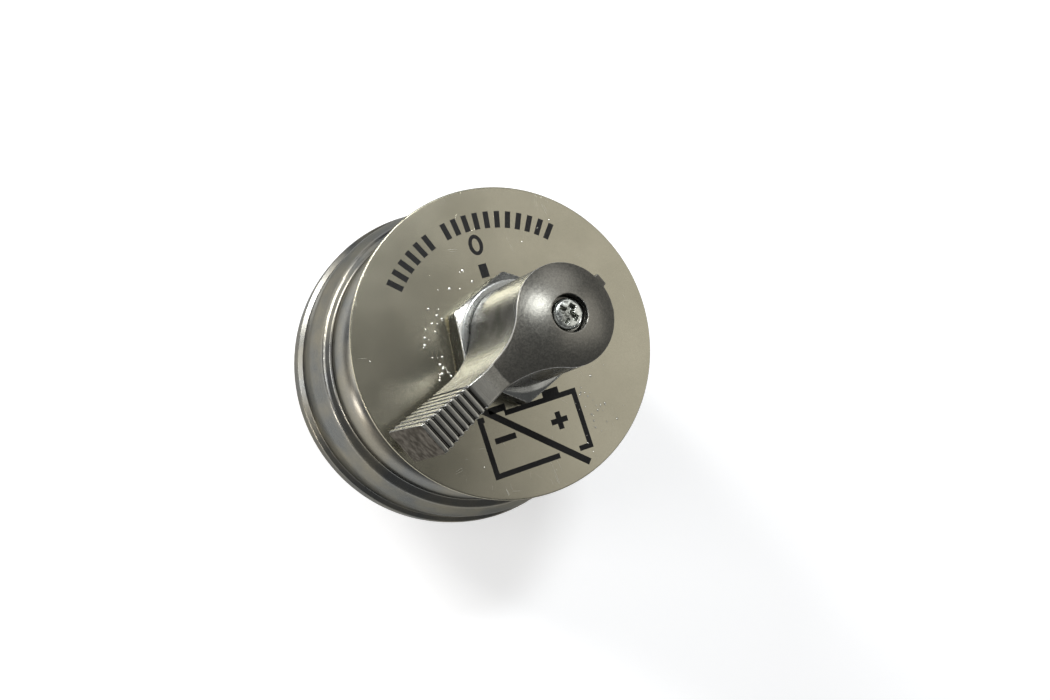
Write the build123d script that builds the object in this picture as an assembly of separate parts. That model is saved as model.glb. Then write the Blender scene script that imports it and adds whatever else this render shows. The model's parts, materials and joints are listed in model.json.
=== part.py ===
from build123d import *
import math
import os

# Battery master switch for panel mounting. Millimetres. +Z is the switch axis, from the housing
# towards the lever, and z = 0 is the housing's front face, where the threaded stem rises from it.
# +Y points at the index mark on the legend plate.

# --- Legend plate, nuts and stem -----------------------------------------------------------
plate_radius = 34.925        # 2 3/4 in disc
plate_thickness = 0.8
plate_front = 16.0           # height of the plate's front face above the housing
plate_hole_clearance = 0.25  # radial, plate and washers over the stem
stem_radius = 9.525          # 3/4 in - 16 thread, outside radius
stem_stand = 1.0             # stem beyond the face nut
stem_chamfer = 0.8
stem_hole_clearance = 0.15   # radial, stem in the housing's front wall
flange_radius = 16.0
flange_thickness = 1.8
nut_across_flats = 25.4
nut_thickness = 7.5
nut_chamfer = 30.0           # degrees, on both faces of every hexagon nut
nut_chamfer_share = 1.15     # the chamfer reaches this far in, as a share of corner minus flat
nut_mouth = 0.5              # countersink at both ends of a nut's bore
face_nut_turn = 23.0         # degrees, where a corner of the nut points
back_nut_turn = 5.0
lock_washer_radius = 13.6
lock_washer_thickness = 1.0
lock_washer_teeth = 12
lock_washer_slot = (3.0, 1.6)  # length and width of the gap between two teeth
pin_place = 23.8             # locating pin, distance from the axis along +X
pin_head_radius = 3.4
pin_head_height = 2.3
pin_radius = 2.0
pin_length = 5.0             # below the plate

# --- Housing -------------------------------------------------------------------------------
cup_wall = 1.2
skirt_radius = 38.3          # rear stage
skirt_step = 4.1             # how much smaller the front stage is
shoulder_round = 7.0
groove_depth = 9.8           # where the front stage ends, below the front face
groove_round = 0.8
groove_lip = 0.6             # depth of the small flat ledge beside the groove
groove_lip_round = 1.4
skirt_round = 6.0
skirt_round_depth = 7.2      # height of the rear stage's sloping shoulder
bead_stand = 1.4             # crimped bead round the base, beyond the rear stage
bead_top = -25.4
bead_height = 7.2
bead_inner_round = 1.2
bead_shoulder = 0.7          # height of the bead's sloping front
lip_width = 2.1              # how far the bead is turned in under the base
rivet_circle = 12.6
rivet_radius = 1.5
rivet_head_radius = 2.5
rivet_head_height = 1.2
rivet_count = 3
rivet_tail_radius = 2.0
rivet_tail_height = 0.7
detent_plate_radius = 27.0
detent_plate_thickness = 1.2
detent_circle = 22.0
detent_hole_radius = 2.2
detent_positions = 4         # holes at 90 degree steps
liner_thickness = 0.8
liner_gap = 0.2

# --- Base and terminals --------------------------------------------------------------------
base_edge_clearance = 0.1
base_boss_height = 3.0       # how far the base stands out behind the bead
base_boss_clearance = 0.4
gasket_thickness = 1.0
gasket_width = 3.6
stud_radius = 4.7625         # 3/8 in - 16 thread, outside radius
stud_pitch_radius = 4.247    # the thread's pitch radius, where nuts and stud meet
stud_spacing = 44.45         # 1 3/4 in between centres
stud_length = 25.4           # behind the base
stud_hole_clearance = 0.15
stud_head_radius = 8.0
stud_head_thickness = 3.2
stud_head_recess = 0.5
stud_head_round = 0.6
stud_chamfer = 0.7
seal_section = 0.85          # radius of the stud seal's section
stud_head_clearance = 0.2
seat_washer_radius = 9.5
seat_washer_thickness = 1.5
terminal_nut_flats = 14.3    # 9/16 in
seat_nut_thickness = 5.6
seat_nut_turn = 10.0
terminal_nut_turn = 37.0
terminal_washer_radius = 8.6
terminal_washer_thickness = 2.4
terminal_washer_split = 0.8
terminal_split_lean = 35.0   # degrees
terminal_nut_thickness = 8.3
bearing_boss_radius = 7.0
bearing_boss_height = 1.6

# --- Rotor, contacts and detent ------------------------------------------------------------
shaft_radius = 5.0
running_clearance = 0.06     # radial, every shaft in its bore
axial_clearance = 0.1
collar_radius = 8.5
collar_thickness = 2.0
thrust_washer_thickness = 0.6
shaft_square = 8.6
square_clearance = 0.08
pilot_radius = 3.0
pilot_depth = 3.6
oring_section = 0.55
oring_height = 14.0
oring_groove_drop = 0.02     # the section's middle below the shaft's surface
rotor_radius = 27.0
rotor_hub_radius = 18.0
rotor_thickness = 8.0
rotor_top_gap = 1.0          # between the rotor's rim and the detent plate
ball_radius = 2.5
ball_gap = 0.1
pocket_floor = 1.6           # rotor left under a detent spring
detent_spring_wire = 0.35
detent_spring_turns = 5
bridge_width = 14.0
bridge_thickness = 2.5
bridge_corner_round = 4.0
bridge_overhang = 6.5        # copper beyond each stud's centre
contact_gap = 0.15
contact_spring_radius = 8.6
contact_spring_wire = 0.8
contact_spring_turns = 3
spring_seat_depth = 2.0
spring_seat_clearance = 0.3

# --- Lever ---------------------------------------------------------------------------------
lever_angle = 205.0          # degrees from +X to the arm
lever_gap = 0.5              # between the stem's end and the lever
lever_height = 30.0
lever_draft = 1.3            # degrees
hub_radius = 10.35           # at the top
crown_radius = 24.0
crown_shift = 2.2            # the crown's middle, towards the arm
arm_drop = 5.1               # the blade's top below the crown
arm_length = 34.6
arm_root = 20.0              # where the flanks run into the arm
arm_root_half = 2.5
arm_tip_half = 3.45
rib_count = 8
rib_start = 24.6
rib_pitch = 1.46
rib_depth = 0.42
nub_width = 2.6
nub_reach = 1.1
nub_height = 8.0
flat_width = 7.6             # across the two flats of the shaft's top
socket_relief = (0.4, 1.2)   # radial and axial relief at the socket's mouth
drive_clearance = 0.05
screw_web = 7.3              # lever metal between the shaft's end and the screw's head
screw_radius = 2.4
screw_length = 14.0
screw_head_radius = 3.1
screw_head_height = 2.6
screw_head_round = 0.5
screw_clearance = 0.15
counterbore_depth = 3.7      # below the crown's highest point
counterbore_radius = 3.8
cross_length = 3.9
cross_width = 0.95
cross_depth = 1.5

# --- Places worked out from the sizes above ------------------------------------------------
plate_back = plate_front - plate_thickness
stem_length = plate_front + nut_thickness + stem_stand
lever_bottom = stem_length + lever_gap
crown_top = lever_bottom + lever_height
arm_top = crown_top - arm_drop
screw_seat = crown_top - counterbore_depth
drive_top = screw_seat - screw_web
shoulder_radius = skirt_radius - skirt_step
bead_radius = skirt_radius + bead_stand
washer_back = plate_back - lock_washer_thickness
cup_inside = -cup_wall
detent_face = cup_inside - detent_plate_thickness
flange_back = detent_face - flange_thickness
thrust_back = flange_back - axial_clearance - thrust_washer_thickness
collar_back = thrust_back - collar_thickness
rotor_rim_top = detent_face - rotor_top_gap
rotor_hub_top = collar_back
rotor_back = rotor_hub_top - rotor_thickness
ball_height = detent_face - ball_gap - ball_radius
pocket_back = rotor_back + pocket_floor
bead_bottom = bead_top - bead_height
lip_top = bead_bottom + cup_wall
gasket_top = bead_top - cup_wall
base_top = gasket_top - gasket_thickness
base_rim_radius = bead_radius - cup_wall - base_edge_clearance
base_boss_radius = base_rim_radius + base_edge_clearance - lip_width - base_boss_clearance
base_back = bead_bottom - base_boss_height + cup_wall
stud_head_back = base_top - stud_head_recess
stud_head_top = stud_head_back + stud_head_thickness
bridge_back = stud_head_top + contact_gap
bridge_top = bridge_back + bridge_thickness
bridge_half = stud_spacing / 2 + bridge_overhang
stud_end = base_back - stud_length
pilot_end = base_top + bearing_boss_height - pilot_depth
seal_ring = stud_radius + stud_hole_clearance + seal_section
stem_bore = shaft_radius + running_clearance
seat_washer_back = base_back - seat_washer_thickness
seat_nut_back = seat_washer_back - seat_nut_thickness
terminal_washer_back = seat_nut_back - terminal_washer_thickness
terminal_nut_back = terminal_washer_back - terminal_nut_thickness
washer_hole = stud_radius + plate_hole_clearance


def ring(outer, inner, bottom, top):
    """A plain washer or tube about the Z axis."""
    return Pos(0, 0, (bottom + top) / 2) * (
        Cylinder(outer, top - bottom) - Cylinder(inner, 2 * (top - bottom))
    )


def rod(radius, bottom, top):
    return Pos(0, 0, (bottom + top) / 2) * Cylinder(radius, top - bottom)


def turned(points, radii):
    """A solid of revolution from a closed (radius, height) outline with rounded corners."""
    outline = FilletPolyline(*[(r, 0, z) for r, z in points], radius=radii, close=True)
    return revolve(make_face(outline), Axis.Z)


def around(piece, count, start=0.0):
    """Copies of a piece at equal steps about the Z axis."""
    return [Rot(0, 0, start + 360 / count * step) * piece for step in range(count)]


def at_studs(piece):
    """A copy of a piece on each of the two terminals."""
    return [Pos(side * stud_spacing / 2, 0, 0) * piece for side in (-1, 1)]


def hexagon_nut(flats, bore, bottom, thickness, turn):
    """A hexagon nut, its corners taken off by a shallow cone on both faces."""
    corner = flats / math.sqrt(3)
    blank = extrude(RegularPolygon(corner, 6), thickness)
    cut = (corner - flats / 2) * nut_chamfer_share
    rise = cut * math.tan(math.radians(nut_chamfer))
    half = [(corner - cut, 0), (corner, rise)]
    other_half = [(radius, thickness - height) for radius, height in reversed(half)]
    envelope = turned([(0, 0), *half, *other_half, (0, thickness)], [0] * 6)
    hole = Pos(0, 0, thickness / 2) * Cylinder(bore, 2 * thickness)
    mouth = turned(
        [(0, 0), (bore + nut_mouth, 0), (bore - nut_mouth, 2 * nut_mouth), (0, 2 * nut_mouth)],
        [0] * 4,
    )
    mouths = mouth + Pos(0, 0, thickness) * Rot(180, 0, 0) * mouth
    return Pos(0, 0, bottom) * Rot(0, 0, turn) * ((blank & envelope) - hole - mouths)


def coil(radius, wire, bottom, top, turns):
    """A compression spring with open ends, its wire inside bottom and top."""
    height = top - bottom - 2 * wire
    path = Pos(0, 0, bottom + wire) * Helix(height / turns, height, radius)
    section = Plane(origin=path @ 0, z_dir=path % 0) * Circle(wire)
    return sweep(section, path)


def split_washer(outer, inner, bottom, thickness):
    """A spring lock washer: a flat ring with a slanting split."""
    cut = Rot(terminal_split_lean, 0, 0) * Box(2 * outer, terminal_washer_split, 4 * thickness)
    return ring(outer, inner, bottom, bottom + thickness) - Pos(outer, 0, bottom + thickness / 2) * cut


# --- Housing ------------------------------------------------------------------------------
def housing_cup():
    """Drawn steel in two stages, with the rear edge beaded and turned in under the base."""
    hole = stem_radius + stem_hole_clearance
    ledge = shoulder_radius + skirt_step / 2
    ledge_height = -groove_depth - groove_lip
    lip = bead_radius - cup_wall - lip_width
    t = cup_wall
    slope_back = -groove_depth - skirt_round_depth
    outside = [
        (hole, 0, 0),
        (shoulder_radius, 0, shoulder_round),
        (shoulder_radius, -groove_depth, groove_round),
        (ledge, ledge_height, groove_lip_round),
        (skirt_radius, slope_back, skirt_round),
        (skirt_radius, bead_top, bead_shoulder / 2),
        (bead_radius, bead_top - bead_shoulder, bead_shoulder),
        (bead_radius, bead_bottom, bead_inner_round + t),
        (lip, bead_bottom, 0),
    ]
    inside = [
        (lip, lip_top, 0),
        (bead_radius - t, lip_top, bead_inner_round),
        (bead_radius - t, gasket_top, base_edge_clearance),
        (skirt_radius - t, gasket_top, bead_shoulder / 2),
        (skirt_radius - t, slope_back, skirt_round - t),
        (ledge - t, ledge_height - t, max(groove_lip_round - t, base_edge_clearance)),
        (shoulder_radius - t, -groove_depth - t, groove_round),
        (shoulder_radius - t, cup_inside, shoulder_round - t),
        (hole, cup_inside, 0),
    ]
    corners = outside + inside
    shell = turned([(r, z) for r, z, _ in corners], [radius for _, _, radius in corners])
    rivet_hole = Pos(rivet_circle, 0, 0) * Cylinder(rivet_radius, 4 * t)
    return shell - around(rivet_hole, rivet_count, 90)


def mounting_stem():
    """Hollow threaded stem, with a flange riveted behind the housing's front wall."""
    stem = ring(stem_radius, stem_bore, flange_back, stem_length)
    stem = chamfer(stem.edges().group_by(Axis.Z)[-1].sort_by(SortBy.RADIUS)[-1], stem_chamfer)
    flange = ring(flange_radius, stem_bore, flange_back, detent_face)
    rivet_hole = Pos(rivet_circle, 0, flange_back) * Cylinder(rivet_radius, 4 * flange_thickness)
    return stem + flange - around(rivet_hole, rivet_count, 90)


def stem_rivets():
    """Rivets through the front wall, the detent plate and the stem's flange."""
    top_radius = (rivet_head_radius + rivet_radius) / 2
    corners = [(0, 0), (rivet_head_radius, 0), (top_radius, rivet_head_height), (0, rivet_head_height)]
    head = turned(corners, [0, 0, rivet_head_height / 2, 0])
    tail = rod(rivet_tail_radius, flange_back - rivet_tail_height, flange_back)
    rivet = head + rod(rivet_radius, flange_back, 0) + tail
    return around(Pos(rivet_circle, 0, 0) * rivet, rivet_count, 90)


def detent_plate():
    """Steel plate behind the front wall, with a hole for the detent balls at every quarter turn."""
    plate = ring(detent_plate_radius, stem_radius + stem_hole_clearance, detent_face, cup_inside)
    rivet_hole = Pos(rivet_circle, 0, detent_face) * Cylinder(rivet_radius, 4 * detent_plate_thickness)
    detent = Pos(detent_circle, 0, detent_face) * Cylinder(detent_hole_radius, 4 * detent_plate_thickness)
    plate -= around(rivet_hole, rivet_count, 90)
    return plate - around(detent, detent_positions, lever_angle)


def insulating_liner():
    """Fibre sleeve inside the rear stage, round the contacts."""
    outer = skirt_radius - cup_wall - liner_gap
    top = -groove_depth - skirt_round_depth - liner_gap
    return ring(outer, outer - liner_thickness, gasket_top, top)


# --- Plate and what clamps it -------------------------------------------------------------
def face_plate():
    """Thin legend disc on the stem, with the locating pin's hole."""
    disc = ring(plate_radius, stem_radius + plate_hole_clearance, plate_back, plate_front)
    return disc - Pos(pin_place, 0, plate_back) * Cylinder(pin_radius, 4 * plate_thickness)


def plate_pin():
    """Domed pin riveted in the plate: its shank stops the plate turning on the panel."""
    dome_round = (pin_head_radius**2 + pin_head_height**2) / (2 * pin_head_height)
    ball = Pos(0, 0, plate_front + pin_head_height - dome_round) * Sphere(dome_round)
    head = ball & rod(pin_head_radius, plate_front, plate_front + pin_head_height)
    return Pos(pin_place, 0, 0) * (head + rod(pin_radius, plate_back - pin_length, plate_front))


def lock_washer():
    """Washer with teeth round its hole, between the back nut and the plate."""
    inner = stem_radius + plate_hole_clearance
    washer = ring(lock_washer_radius, inner, washer_back, plate_back)
    gap = Pos(inner, 0, washer_back) * Box(*lock_washer_slot, 4 * lock_washer_thickness)
    return washer - around(gap, lock_washer_teeth)


def face_nut():
    return hexagon_nut(nut_across_flats, stem_radius, plate_front, nut_thickness, face_nut_turn)


def back_nut():
    bottom = washer_back - nut_thickness
    return hexagon_nut(nut_across_flats, stem_radius, bottom, nut_thickness, back_nut_turn)


# --- Base and terminals -------------------------------------------------------------------
def base():
    """Moulded phenolic back, held by the bead, with a bearing for the shaft's pilot."""
    body = turned(
        [
            (0, base_back),
            (base_boss_radius, base_back),
            (base_boss_radius, lip_top),
            (base_rim_radius, lip_top),
            (base_rim_radius, base_top),
            (0, base_top),
        ],
        [0, 1.0, 0, bead_inner_round + 0.2, 0.3, 0],
    )
    boss = rod(bearing_boss_radius, base_top, base_top + bearing_boss_height)
    bearing_end = pilot_end - axial_clearance
    bearing = rod(pilot_radius + running_clearance, bearing_end, base_top + 2 * pilot_depth)
    head_seat = rod(stud_head_radius + stud_head_clearance, stud_head_back, base_top + 1.0)
    seal_seat = rod(seal_ring + seal_section, stud_head_back - 2 * seal_section, base_top)
    stud_hole = rod(stud_radius + stud_hole_clearance, base_back - 1.0, base_top)
    return body + boss - bearing - at_studs(head_seat + seal_seat + stud_hole)


def base_gasket():
    """Flat ring squeezed between the base's rim and the step inside the bead."""
    outer = base_rim_radius - base_edge_clearance
    return ring(outer, outer - gasket_width, base_top, gasket_top)


def terminal_stud(side):
    """Copper stud with a round head that is the fixed contact."""
    head = rod(stud_head_radius, stud_head_back, stud_head_top)
    head = fillet(head.edges().group_by(Axis.Z)[-1], stud_head_round)
    free_end = rod(stud_radius, stud_end, terminal_nut_back)
    free_end = chamfer(free_end.edges().group_by(Axis.Z)[0], stud_chamfer)
    shank = rod(stud_radius, seat_washer_back, stud_head_back)
    engaged = rod(stud_pitch_radius, terminal_nut_back, seat_washer_back)
    return Pos(side * stud_spacing / 2, 0, 0) * (head + shank + engaged + free_end)


def stud_seals():
    height = stud_head_back - seal_section
    return at_studs(Pos(0, 0, height) * Torus(seal_ring, seal_section))


def seat_washers():
    return at_studs(ring(seat_washer_radius, washer_hole, seat_washer_back, base_back))


def seat_nuts():
    return at_studs(
        hexagon_nut(
            terminal_nut_flats, stud_pitch_radius, seat_nut_back, seat_nut_thickness, seat_nut_turn
        )
    )


def terminal_lock_washers():
    washer = split_washer(
        terminal_washer_radius, washer_hole, terminal_washer_back, terminal_washer_thickness
    )
    return at_studs(washer)


def terminal_nuts():
    bottom, thickness = terminal_nut_back, terminal_nut_thickness
    return at_studs(
        hexagon_nut(terminal_nut_flats, stud_pitch_radius, bottom, thickness, terminal_nut_turn)
    )


# --- Shaft, rotor and contacts ------------------------------------------------------------
def in_lever_frame(piece):
    """Turns a piece drawn with the arm along +X to where the lever points."""
    return Rot(0, 0, lever_angle) * piece


def shaft():
    """Steel shaft: two flats for the lever, an O-ring groove, a collar, a square and a pilot."""
    flats_from = lever_bottom + 1.0
    flats = Box(flat_width, 4 * shaft_radius, 2 * (drive_top - flats_from))
    body = rod(shaft_radius, thrust_back, flats_from)
    body += rod(shaft_radius, flats_from, drive_top) & Pos(0, 0, drive_top) * flats
    body += rod(collar_radius, collar_back, thrust_back)
    square_back = base_top + bearing_boss_height + 2 * axial_clearance
    square = Box(shaft_square, shaft_square, collar_back - square_back)
    body += Pos(0, 0, (collar_back + square_back) / 2) * square
    body += rod(pilot_radius, pilot_end, square_back)
    groove = Pos(0, 0, oring_height) * Torus(shaft_radius - oring_groove_drop, oring_section)
    thread = rod(screw_radius, drive_top - screw_length, drive_top + 1.0)
    return in_lever_frame(body - groove - thread)


def shaft_oring():
    """Seal in the shaft's groove, inside the stem."""
    section = Pos(0, 0, oring_height) * Torus(shaft_radius - oring_groove_drop, oring_section)
    squeezed_to = shaft_radius + running_clearance / 2
    return section & rod(squeezed_to, oring_height - oring_section, oring_height + oring_section)


def thrust_washer():
    """Thin washer on the collar: it takes the spring's push against the stem's flange."""
    top = thrust_back + thrust_washer_thickness
    return ring(collar_radius, shaft_radius + running_clearance, thrust_back, top)


def pocket(radius, bottom, top):
    """A round space at each of the rotor's two detent places."""
    return around(Pos(detent_circle, 0, 0) * rod(radius, bottom, top), 2)


def rotor():
    """Phenolic carrier: it holds the detent balls and guides the contact spring."""
    body = rod(rotor_radius, rotor_back, rotor_hub_top)
    body += ring(rotor_radius, rotor_hub_radius, rotor_hub_top, rotor_rim_top)
    hole = shaft_square + 2 * square_clearance
    body -= Pos(0, 0, rotor_back) * Box(hole, hole, 4 * rotor_thickness)
    body -= pocket(ball_radius + running_clearance, pocket_back, rotor_rim_top + 1.0)
    seat_radius = contact_spring_radius + contact_spring_wire + spring_seat_clearance
    body -= rod(seat_radius, rotor_back - 1.0, rotor_back + spring_seat_depth)
    return in_lever_frame(body)


def contact_spring():
    """Compression spring that holds the bridge down on the studs."""
    top = rotor_back + spring_seat_depth
    return coil(contact_spring_radius, contact_spring_wire, bridge_top, top, contact_spring_turns)


def contact_bridge():
    """Copper bar that slides on the shaft's square and joins the two studs."""
    bar = Box(2 * bridge_half, bridge_width, bridge_thickness)
    bar = fillet(bar.edges().filter_by(Axis.Z), bridge_corner_round)
    hole = shaft_square + 2 * square_clearance
    bar -= in_lever_frame(Box(hole, hole, 4 * bridge_thickness))
    return Pos(0, 0, (bridge_back + bridge_top) / 2) * bar


def detent_ball(side):
    place = Pos(side * detent_circle, 0, ball_height)
    return in_lever_frame(place * Sphere(ball_radius))


def detent_spring(side):
    radius = ball_radius - 2 * detent_spring_wire
    wire_drop = math.sqrt((ball_radius + detent_spring_wire) ** 2 - radius**2)
    top = ball_height - wire_drop + detent_spring_wire
    spring = coil(radius, detent_spring_wire, pocket_back, top, detent_spring_turns)
    return in_lever_frame(Pos(side * detent_circle, 0, 0) * spring)


# --- Lever --------------------------------------------------------------------------------
def lever_outline():
    """The lever from the front, at its top: a round hub run into a blade by two hollow flanks."""
    widen = (arm_tip_half - arm_root_half) / (arm_length - arm_root)
    size = math.hypot(1, widen)
    normal = (-widen / size, 1 / size)
    along = arm_root * normal[0] + arm_root_half * normal[1]
    flank = (arm_root**2 + arm_root_half**2 - hub_radius**2) / (2 * (hub_radius - along))
    centre = (arm_root + flank * normal[0], arm_root_half + flank * normal[1])
    far = math.hypot(*centre)
    leave = (centre[0] * hub_radius / far, centre[1] * hub_radius / far)
    halfway = math.atan2(leave[1] + arm_root_half - 2 * centre[1], leave[0] + arm_root - 2 * centre[0])
    middle = (centre[0] + flank * math.cos(halfway), centre[1] + flank * math.sin(halfway))
    upper = [leave, middle, (arm_root, arm_root_half)]
    lower = [(x, -y) for x, y in upper]
    tip = (arm_length, arm_tip_half)
    return make_face(
        [
            ThreePointArc(upper[0], (-hub_radius, 0), lower[0]),
            ThreePointArc(*lower),
            Line(lower[2], (tip[0], -tip[1])),
            Line((tip[0], -tip[1]), tip),
            Line(tip, upper[2]),
            ThreePointArc(*reversed(upper)),
        ]
    )


def lever_ribs():
    """Round grooves across the blade's top and down both sides, between the ribs."""
    grooves = []
    tall = arm_top - lever_bottom
    middle = lever_bottom + tall / 2
    proud = 0.1                  # the grooves' centre lines stand this far outside the metal
    widen = (arm_tip_half - arm_root_half) / (arm_length - arm_root)
    lean = math.tan(math.radians(lever_draft))
    for step in range(rib_count + 1):
        place = rib_start + (step - 0.5) * rib_pitch
        half = arm_root_half + widen * (place - arm_root)
        cutter = Cylinder(rib_depth + proud, 2 * tall)
        grooves.append(Pos(place, 0, arm_top + proud) * Rot(90, 0, 0) * cutter)
        at_side = half + lean * (crown_top - middle) + proud
        for side in (-1, 1):
            grooves.append(Pos(place, side * at_side, middle) * Rot(side * lever_draft, 0, 0) * cutter)
    return grooves


def lever():
    """Die-cast lever: crowned hub, ribbed blade and a small pointer nub opposite the blade."""
    height = crown_top - lever_bottom
    blank = Pos(0, 0, crown_top) * extrude(lever_outline(), -height, taper=-lever_draft)
    crown = Pos(crown_shift, 0, crown_top - crown_radius) * Sphere(crown_radius)
    low = Pos(0, 0, (lever_bottom + arm_top) / 2) * Box(4 * arm_length, arm_length, arm_top - lever_bottom)
    nub = Pos(-hub_radius, 0, crown_top - nub_height / 2) * Box(2 * nub_reach, nub_width, nub_height)
    body = ((blank + nub) & crown) + (blank & low)
    socket = rod(shaft_radius + drive_clearance, lever_bottom, drive_top + 0.2)
    gap = flat_width + 2 * drive_clearance
    socket &= Pos(0, 0, drive_top) * Box(gap, 4 * shaft_radius, 2 * lever_height)
    relief, relief_depth = socket_relief
    socket += rod(shaft_radius + relief, lever_bottom - 1.0, lever_bottom + relief_depth)
    hole = rod(screw_radius + screw_clearance, lever_bottom, crown_top + 1.0)
    head_hole = rod(counterbore_radius, screw_seat, crown_top + 1.0)
    return in_lever_frame(body - lever_ribs() - socket - hole - head_hole)


def lever_screw():
    """Cross-recessed screw that clamps the lever to the shaft."""
    head = rod(screw_head_radius, screw_seat, screw_seat + screw_head_height)
    head = fillet(head.edges().group_by(Axis.Z)[-1], screw_head_round)
    top = screw_seat + screw_head_height
    cross = Box(cross_length, cross_width, 2 * cross_depth)
    cross += Rot(0, 0, 90) * cross
    shank = rod(screw_radius, drive_top - screw_length + 1.0, screw_seat)
    return in_lever_frame(head - Pos(0, 0, top) * cross + shank)


pieces = {
    "housing_cup": housing_cup(),
    "mounting_stem": mounting_stem(),
    "stem_rivets": stem_rivets(),
    "detent_plate": detent_plate(),
    "insulating_liner": insulating_liner(),
    "face_plate": face_plate(),
    "plate_pin": plate_pin(),
    "lock_washer": lock_washer(),
    "face_nut": face_nut(),
    "back_nut": back_nut(),
    "base": base(),
    "base_gasket": base_gasket(),
    "terminal_stud_a": terminal_stud(-1),
    "terminal_stud_b": terminal_stud(1),
    "stud_seals": stud_seals(),
    "seat_washers": seat_washers(),
    "seat_nuts": seat_nuts(),
    "terminal_lock_washers": terminal_lock_washers(),
    "terminal_nuts": terminal_nuts(),
    "shaft": shaft(),
    "shaft_oring": shaft_oring(),
    "thrust_washer": thrust_washer(),
    "rotor": rotor(),
    "contact_spring": contact_spring(),
    "contact_bridge": contact_bridge(),
    "detent_ball_a": detent_ball(-1),
    "detent_ball_b": detent_ball(1),
    "detent_spring_a": detent_spring(-1),
    "detent_spring_b": detent_spring(1),
    "lever": lever(),
    "lever_screw": lever_screw(),
}

os.makedirs("parts", exist_ok=True)
for name, piece in pieces.items():
    shape = Compound(children=piece) if isinstance(piece, list) else piece
    export_step(shape, f"parts/{name}.step")
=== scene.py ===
import json
import math
import random

import bmesh
import bpy
from mathutils import Matrix, Vector


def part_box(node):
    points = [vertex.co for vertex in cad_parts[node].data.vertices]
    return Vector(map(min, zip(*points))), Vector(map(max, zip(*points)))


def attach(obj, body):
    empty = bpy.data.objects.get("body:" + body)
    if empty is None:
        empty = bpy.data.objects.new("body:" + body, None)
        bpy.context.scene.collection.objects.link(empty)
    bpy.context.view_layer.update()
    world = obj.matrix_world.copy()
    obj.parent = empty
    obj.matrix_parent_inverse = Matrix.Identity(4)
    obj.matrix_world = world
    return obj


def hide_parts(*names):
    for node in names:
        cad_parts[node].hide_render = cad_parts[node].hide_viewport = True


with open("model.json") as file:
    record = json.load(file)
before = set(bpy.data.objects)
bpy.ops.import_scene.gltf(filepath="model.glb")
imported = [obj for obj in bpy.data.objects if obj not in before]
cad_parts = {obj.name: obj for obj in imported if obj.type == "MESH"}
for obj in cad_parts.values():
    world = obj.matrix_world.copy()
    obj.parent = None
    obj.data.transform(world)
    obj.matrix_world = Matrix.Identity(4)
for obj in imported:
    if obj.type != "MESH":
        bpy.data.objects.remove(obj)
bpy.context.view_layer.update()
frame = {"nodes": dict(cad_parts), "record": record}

MM = 0.001                     # one millimetre in scene units; every size below is in millimetres
scene = bpy.context.scene
scene.view_settings.view_transform = "Standard"


def low(node):
    """Lowest corner of a CAD node, in millimetres."""
    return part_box(node)[0] / MM


def high(node):
    """Highest corner of a CAD node, in millimetres."""
    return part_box(node)[1] / MM


def farthest(node):
    """Distance from the switch's axis to a CAD node's farthest point, in millimetres."""
    return max(math.hypot(v.co.x, v.co.y) for v in frame["nodes"][node].data.vertices) / MM


# --- Sizes: the frame gives the places, and the rest repeat the CAD's values or are set here ---
PLATE_FRONT = high("face_plate").z
PLATE_BACK = low("face_plate").z
PLATE_RADIUS = high("face_plate").x
STEM_RADIUS = 9.525
STEM_TOP = high("mounting_stem").z
NUT_FLATS = 25.4
FACE_NUT_TURN = 23.0           # degrees, where a corner points
BACK_NUT_TURN = 5.0
PITCH = 1.5875                 # 16 threads to the inch, on the stem and on the studs
LEVER_ANGLE = 205.0            # degrees from +X to the blade
LEVER_BOTTOM = low("lever").z
LEVER_TOP = LEVER_BOTTOM + 30.0
LEVER_LEAN = math.tan(math.radians(1.3))   # draft of the lever's walls
BLADE_TOP = LEVER_TOP - 5.1
BLADE_END = farthest("lever")  # distance from the axis to the blade's sawn end
BLADE_ROOT = 20.0              # distance from the axis where the blade starts
BLADE_ROOT_HALF = 2.5
BLADE_WIDEN = 0.0651           # how much its half width grows for each millimetre along
RIB_COUNT = 8
RIB_START = 24.6
RIB_PITCH = 1.46
RIB_ROUND = 0.36
SCREW_TOP = high("lever_screw").z
STUD_END = low("terminal_stud_a").z
STUD_PLACE = (low("terminal_stud_b").x + high("terminal_stud_b").x) / 2
STUD_RADIUS = 4.7625
STUD_HEAD_RADIUS = 7.9
STUD_HEAD = 3.2
STUD_NUT_FLATS = 14.3
SEAT_NUT_TURN = 10.0
TERMINAL_NUT_TURN = 37.0
INK_BACK = PLATE_FRONT - 0.02
INK_FRONT = PLATE_FRONT + 0.025


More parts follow.
